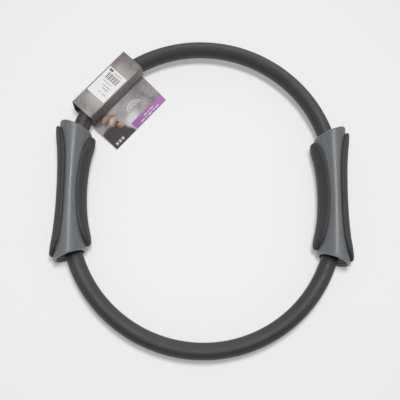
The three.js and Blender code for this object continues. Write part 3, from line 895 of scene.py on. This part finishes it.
def build_pad(name, side):
    end, p, q, at, off = PADS[side]
    line = pad_outline(side)
    m = len(line)
    ahead, behind = np.roll(line, -1, 0), np.roll(line, 1, 0)
    tangent = ahead - behind
    tangent /= np.linalg.norm(tangent, axis=1)[:, None]
    inward = np.stack([-tangent[:, 1], tangent[:, 0]], 1)
    tip = end * Y_END

    # the middle line that the rings close on, a little short of the tips
    spine = np.stack([np.clip(line[:, 0], -tip * 0.86, tip * 0.86), np.zeros(m)], 1)

    def ring(inset, share):
        """The outline moved inwards, and then drawn towards the middle line by a share."""
        q = line + inward * inset
        return q + (spine - q) * share

    def place(q, height):
        s = q[0] / Y_END
        alpha = q[1] / ROUND_RATE
        full = PAD_HALF * DEG
        top = float(np.interp(abs(s), at, off))
        crown = 1 - 0.20 * min(1.0, abs(alpha) / full) ** 2
        h = 0.06 + (top * crown - 0.06) * height
        if side == "inner":
            alpha = math.pi - alpha
        if height > 0.3:
            v = Vector(handle_point(s, alpha, h))
            d = 0.12 * noise.noise(v * 0.33) + 0.07 * noise.noise(v * 0.9 + Vector((7, 3, 1)))
            # a shallow moulded groove runs along the pad on each side of its middle
            groove = math.exp(-((abs(q[1]) - 7.0) / 0.7) ** 2) * (1 - min(1.0, abs(s) / (end * 0.9)) ** 6)
            h += d * min(1.0, (height - 0.3) * 2) - 0.4 * groove * (1.0 if height > 0.97 else 0.0)
        return handle_point(s, alpha, h)

    profile = [(3.2, 0.6, 0.0), (3.2, 0.0, 0.0), (1.4, 0.0, 0.0), (0.6, 0.0, 0.03), (0.22, 0.0, 0.10), (0.04, 0.0, 0.21), (0.0, 0.0, 0.34),
               (0.05, 0.0, 0.47), (0.25, 0.0, 0.60), (0.55, 0.0, 0.71), (0.95, 0.0, 0.80), (1.45, 0.0, 0.88), (2.05, 0.0, 0.945), (2.75, 0.0, 0.985), (3.4, 0.0, 1.0)]
    steps = 26
    profile += [(3.4, k / steps, 1.0) for k in range(1, steps)]
    verts = []
    for inset, share, height in profile:
        verts += [place(q, height) for q in ring(inset, share)]
    faces = ring_faces(len(profile), m)
    for row, flip in ((len(profile) - 1, False), (0, True)):
        base = row * m
        for k in range(m // 2):
            quad = [k, k + 1, (m - k - 1) % m, (m - k) % m]
            quad = [v for i, v in enumerate(quad) if v not in quad[:i]]
            if len(quad) >= 3:
                faces.append(tuple(base + v for v in (reversed(quad) if flip else quad)))
    ob = make(name, verts, faces, PAD)
    return tidy(ob, 0.000003)


for side in ("outer", "inner"):
    right = build_pad(f"right_pad_{side}", side)
    left = turned(right, f"left_pad_{side}", HALF_TURN)
    for ob, body in ((right, "right_handle"), (left, "left_handle")):
        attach(ob, body)
        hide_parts(f"{body.split('_')[0]}_{side}_pad")

# ------------------------------------------------------------------ handles: screws and inner parts


def screw(name, x, y):
    """Pan-head shell screw seen from the rear, with a cross recess and a threaded shank."""
    seat = SCREW_SEAT_Z - 0.12
    sides = 48
    head = [(seat, 1.45), (seat, 2.75), (seat - 0.9, 2.8), (seat - 1.5, 2.62), (seat - 1.95, 2.15), (seat - 2.2, 1.4), (seat - 2.27, 0.6)]
    rings = []
    # shank with thread crests, from the tip to the head
    z, k = 9.0, 0
    rings.append((x, y, z, 0.35))
    z -= 1.0
    while z > seat + 1.2:
        rings.append((x, y, z, 1.42 if k % 2 == 0 else 1.12))
        z -= 0.55
        k += 1
    rings.append((x, y, seat + 1.0, 1.3))
    rings += [(x, y, hz, hr) for hz, hr in head]
    ob = shape_of(name, sides, rings)
    for dx, dy in ((1.75, 0.36), (0.36, 1.75)):
        z0, z1 = seat - 3.2, seat - 1.15
        verts = [(x + a * dx * k, y + b * dy * k, zz) for zz, k in ((z0, 1.0), (z1, 0.62)) for a, b in ((-1, -1), (1, -1), (1, 1), (-1, 1))]
        cutter = tidy(make("cross", verts, [(0, 1, 2, 3), (4, 5, 6, 7), (0, 1, 5, 4), (1, 2, 6, 5), (2, 3, 7, 6), (3, 0, 4, 7)], STEEL, smooth=False))
        boolean(ob, cutter, "DIFFERENCE", "EXACT")
    ob.data.materials.clear()
    ob.data.materials.append(STEEL)
    return tidy(ob, 0.000001, sharp=35)


for i, (x, y) in enumerate(SCREWS):
    right = screw(f"right_screw_{i + 1}", x, y)
    left = turned(right, f"left_screw_{i + 1}", HALF_TURN)
    for ob, body in ((right, "right_handle"), (left, "left_handle")):
        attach(ob, body)
        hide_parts(f"{body.split('_')[0]}_shell_screw_{i + 1}")

for name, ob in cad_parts.items():
    if "clamp_block" in name:
        finish = CLAMP
    elif "clamp_plate" in name or "clamp_bolt" in name:
        finish = STEEL
    elif name in ("left_leaf_outer", "left_leaf_inner", "right_leaf_outer", "right_leaf_inner"):
        finish = SPRING
    else:
        continue
    ob.data.materials.clear()
    ob.data.materials.append(finish)

# ------------------------------------------------------------------ tag


def tag_to_world(t, n, z):
    a = TAG_PHI * DEG
    cx, cy = HOOP_R * math.cos(a), HOOP_DY + HOOP_R * math.sin(a)
    g = (TAG_PHI - 90) * DEG
    return (cx + t * math.cos(g) - n * math.sin(g), cy + t * math.sin(g) + n * math.cos(g), z)


def smooth_path(points, radius, bends):
    """A polyline with its marked corners rounded; its other points are kept as they are."""
    out = []
    n = len(points)
    for i, p in enumerate(points):
        p = np.array(p, float)
        if i in bends and 0 < i < n - 1:
            a, b = np.array(points[i - 1], float), np.array(points[i + 1], float)
            u, v = (a - p) / np.linalg.norm(a - p), (b - p) / np.linalg.norm(b - p)
            angle = math.acos(max(-1, min(1, float(u @ v))))
            reach = radius / math.tan(angle / 2)
            p0, p1 = p + u * reach, p + v * reach
            for k in range(5):
                f = k / 4
                q = (1 - f) ** 2 * p0 + 2 * f * (1 - f) * p + f ** 2 * p1
                out.append(q)
        else:
            out.append(p)
    return out


def refine(points, step):
    out = [np.array(points[0], float)]
    for p, q in zip(points[:-1], points[1:]):
        p, q = np.array(p, float), np.array(q, float)
        k = max(1, int(math.ceil(np.linalg.norm(q - p) / step)))
        for j in range(1, k + 1):
            out.append(p + (q - p) * j / k)
    return out


def bow(z):
    """How far the inner side panel stands out, from its lower end to its upper fold."""
    zs = [-13.8, -10.0, -4.0, 3.0, 9.2, 14.15]
    ns = [0.0, 1.05, 1.95, 1.9, 1.25, 0.0]
    return float(np.interp(z, zs, ns))


def build_tag():
    thick = 0.45
    base = [(-54.95, -23.85), (-15.35, -14.15), (13.9, -14.15), (13.9, 14.15), (-15.05, 14.15)]
    path = smooth_path(base + [(-15.65, -13.8)], 0.55, {1, 2, 3, 4})
    path = refine(path, 1.6)
    pts = np.array(path)
    # arc length and normals of the middle line
    seg = np.diff(pts, axis=0)
    tangent = np.vstack([seg[:1], seg[:-1] + seg[1:], seg[-1:]])
    tangent /= np.linalg.norm(tangent, axis=1)[:, None]
    normal = np.stack([tangent[:, 1], -tangent[:, 0]], 1)      # the sheet's printed outside on the sleeve
    length = np.concatenate([[0], np.cumsum(np.linalg.norm(seg, axis=1))])
    total = length[-1]
    flap_len = float(np.hypot(54.95 - 15.35, 23.85 - 14.15))
    corners = [flap_len, flap_len + 29.25, flap_len + 57.55, flap_len + 86.5]
    ts = np.linspace(TAG_T0, TAG_T1, 46)
    rows = len(ts)
    count = len(pts)

    def sheet(offset):
        grid = []
        for t in ts:
            f = (t - TAG_T0) / (TAG_T1 - TAG_T0)
            for i in range(count):
                n, z = pts[i] + normal[i] * offset
                at = length[i]
                if at > corners[3] - 0.3:                        # inner side panel: bowed
                    n -= bow(z) * (1.08 + 0.08 * f)
                elif at < flap_len:                              # flap: a slight curl
                    g = at / flap_len
                    z += 0.55 * math.sin(math.pi * g) * (0.7 + 0.6 * f) + 0.25 * (1 - f) * (1 - g) ** 2
                elif corners[2] < at < corners[3]:               # top panel: a shallow crown
                    g = (at - corners[2]) / (corners[3] - corners[2])
                    z += 0.22 * math.sin(math.pi * g) - 0.12 * abs(2 * f - 1) ** 2
                    z = min(z, 14.4)
                grid.append(tag_to_world(t, n, z))
        return grid

    outer, inner = sheet(thick / 2), sheet(-thick / 2)
    verts = outer + inner
    off = len(outer)
    faces, mats = [], []
    for r in range(rows - 1):
        for c in range(count - 1):
            a = r * count + c
            flap = length[c] < flap_len - 0.2
            faces.append((a, a + 1, a + count + 1, a + count))
            mats.append(2 if flap else 0)
            b = off + a
            faces.append((b, b + count, b + count + 1, b + 1))
            mats.append(1 if flap else 2)
    for r in (0, rows - 1):
        for c in range(count - 1):
            a = r * count + c
            faces.append((a, off + a, off + a + 1, a + 1))
            mats.append(3)
    for c in (0, count - 1):
        for r in range(rows - 1):
            a = r * count + c
            faces.append((a, a + count, off + a + count, off + a))
            mats.append(3)
    ob = make("tag_folded_card", verts, faces)
    for mat in (CARD_SLEEVE, CARD_FLAP, CARD_INSIDE, CARD_EDGE):
        ob.data.materials.append(mat)
    ob.data.polygons.foreach_set("material_index", mats)
    bm = bmesh.new()
    bm.from_mesh(ob.data)
    bmesh.ops.recalc_face_normals(bm, faces=bm.faces)
    bm.to_mesh(ob.data)
    bm.free()
    ob.data.shade_smooth()
    ob.data.set_sharp_from_angle(angle=50 * DEG)
    return ob


def build_sticker():
    """A thin label with round corners, lying on the crowned top panel."""
    t0, t1, n0, n1 = -21.7, 18.05, -14.2, 12.4
    r = 1.0
    outline = []
    for cx, cy, a0 in ((t1 - r, n1 - r, 0), (t0 + r, n1 - r, 90), (t0 + r, n0 + r, 180), (t1 - r, n0 + r, 270)):
        for k in range(7):
            a = (a0 + 90 * k / 6) * DEG
            outline.append((cx + r * math.cos(a), cy + r * math.sin(a)))
    m = len(outline)
    ct, cn = (t0 + t1) / 2, (n0 + n1) / 2
    shares = [1.0, 0.97, 0.85, 0.65, 0.4, 0.15]

    def level(k):
        return [(ct + (t - ct) * k, cn + (n - cn) * k) for t, n in outline]

    verts = []
    lows, tops = 14.42, 14.54
    for k in reversed(shares):
        verts += [tag_to_world(t, n, lows) for t, n in level(k)]
    for k in shares:
        verts += [tag_to_world(t, n, tops if k < 1 else tops - 0.02) for t, n in level(k)]
    rows = 2 * len(shares)
    faces = ring_faces(rows, m)
    faces.append(tuple(range(m)))
    faces.append(tuple(range((rows - 1) * m, rows * m)))
    ob = make("tag_label", verts, faces, STICKER)
    return tidy(ob, 0.000001, sharp=40)


card = build_tag()
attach(card, "tag")
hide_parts("tag_card")
label = build_sticker()
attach(label, "tag")
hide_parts("tag_sticker")

# ------------------------------------------------------------------ floor, light, camera

FLOOR_ALBEDO, FLOOR_GLOW = 0.76, 0.255
floor_mat = Mat("floor", (FLOOR_ALBEDO,) * 3, 0.75, specular=0.15)
floor_mat.set("Base Color", floor_mat.mix(floor_mat.noise(2.0, 2, 0.5), (FLOOR_ALBEDO - 0.006,) * 3, (FLOOR_ALBEDO + 0.006,) * 3))
floor_mat.bsdf.inputs["Emission Color"].default_value = (1, 0.997, 0.99, 1)
floor_mat.bsdf.inputs["Emission Strength"].default_value = FLOOR_GLOW
# seen from below the floor is clear, so the ring's underside can be looked at
back = floor_mat.node("ShaderNodeNewGeometry").outputs["Backfacing"]
clear = floor_mat.node("ShaderNodeBsdfTransparent")
either = floor_mat.node("ShaderNodeMixShader", {0: back})
floor_mat.tree.links.new(floor_mat.bsdf.outputs[0], either.inputs[1])
floor_mat.tree.links.new(clear.outputs[0], either.inputs[2])
floor_mat.tree.links.new(either.outputs[0], floor_mat.out.inputs[0])
size = 4000
floor = make("floor", [(-size, -size, FLOOR_Z), (size, -size, FLOOR_Z), (size, size, FLOOR_Z), (-size, size, FLOOR_Z)], [(0, 1, 2, 3)], floor_mat.mat)

world = bpy.data.worlds.new("studio")
bpy.context.scene.world = world
world.use_nodes = True
background = world.node_tree.nodes["Background"]
background.inputs[0].default_value = (0.97, 0.985, 1.0, 1)
background.inputs[1].default_value = 0.21


def area(name, where, towards, size_x, size_y, power, colour=(1, 1, 1), spread=180):
    data = bpy.data.lights.new(name, "AREA")
    data.shape = "RECTANGLE"
    data.size, data.size_y = size_x, size_y
    data.energy = power
    data.spread = spread * DEG
    data.color = colour
    ob = bpy.data.objects.new(name, data)
    bpy.context.scene.collection.objects.link(ob)
    ob.location = where
    ob.rotation_euler = ((Vector(towards) - Vector(where)).to_track_quat("-Z", "Y")).to_euler()
    ob.visible_camera = False
    return ob


area("overhead", (0.0, 0.04, 1.40), (0, 0, 0), 0.26, 0.26, 12.5).visible_glossy = False
# a white board behind the far arc, and narrow strips over the handles' crests and the near arc:
# they only show as reflections
for name, where, towards, size_x, size_y, power, spread in (
        ("white_board", (0.12, 0.52, 0.27), (0.08, 0.15, 0.0), 0.8, 0.30, 1.9, 180),
        ("board_left", (-0.58, 0.0, 0.26), (-0.17, 0.0, 0.0), 0.55, 0.30, 0.55, 180),
        ("board_right", (0.58, 0.0, 0.26), (0.17, 0.0, 0.0), 0.55, 0.30, 0.55, 180),
        ("strip_left", (-0.225, 0.12, 0.55), (-0.165, 0.0, 0), 0.17, 0.34, 0.22, 50),
        ("strip_right", (0.285, 0.12, 0.55), (0.165, 0.0, 0), 0.15, 0.34, 0.20, 50),
        ("strip_low", (0.02, -0.27, 0.60), (0.0, -0.19, 0), 0.34, 0.05, 0.16, 70)):
    area(name, where, towards, size_x, size_y, power, spread=spread).visible_diffuse = False

cam_data = bpy.data.cameras.new("camera")
cam_data.sensor_width = 36.0
cam_data.lens = 764.5 / 400 * 36.0
cam_data.shift_x = -3.3 / 400
cam_data.shift_y = -6.3 / 400
cam_data.clip_start, cam_data.clip_end = 0.01, 20
camera = bpy.data.objects.new("camera", cam_data)
bpy.context.scene.collection.objects.link(camera)
bpy.context.scene.camera = camera
view_axes = Matrix.Rotation(-0.48 * DEG, 3, "Z") @ Matrix.Rotation(-13.8 * DEG, 3, "X") @ Matrix.Rotation(2.9 * DEG, 3, "Y")
at = view_axes.transposed() @ Vector((0, 0, 0.8904))
camera.matrix_world = Matrix.Translation(at) @ view_axes.transposed().to_4x4()

bpy.context.scene.view_settings.view_transform = "Standard"
bpy.context.scene.view_settings.look = "None"
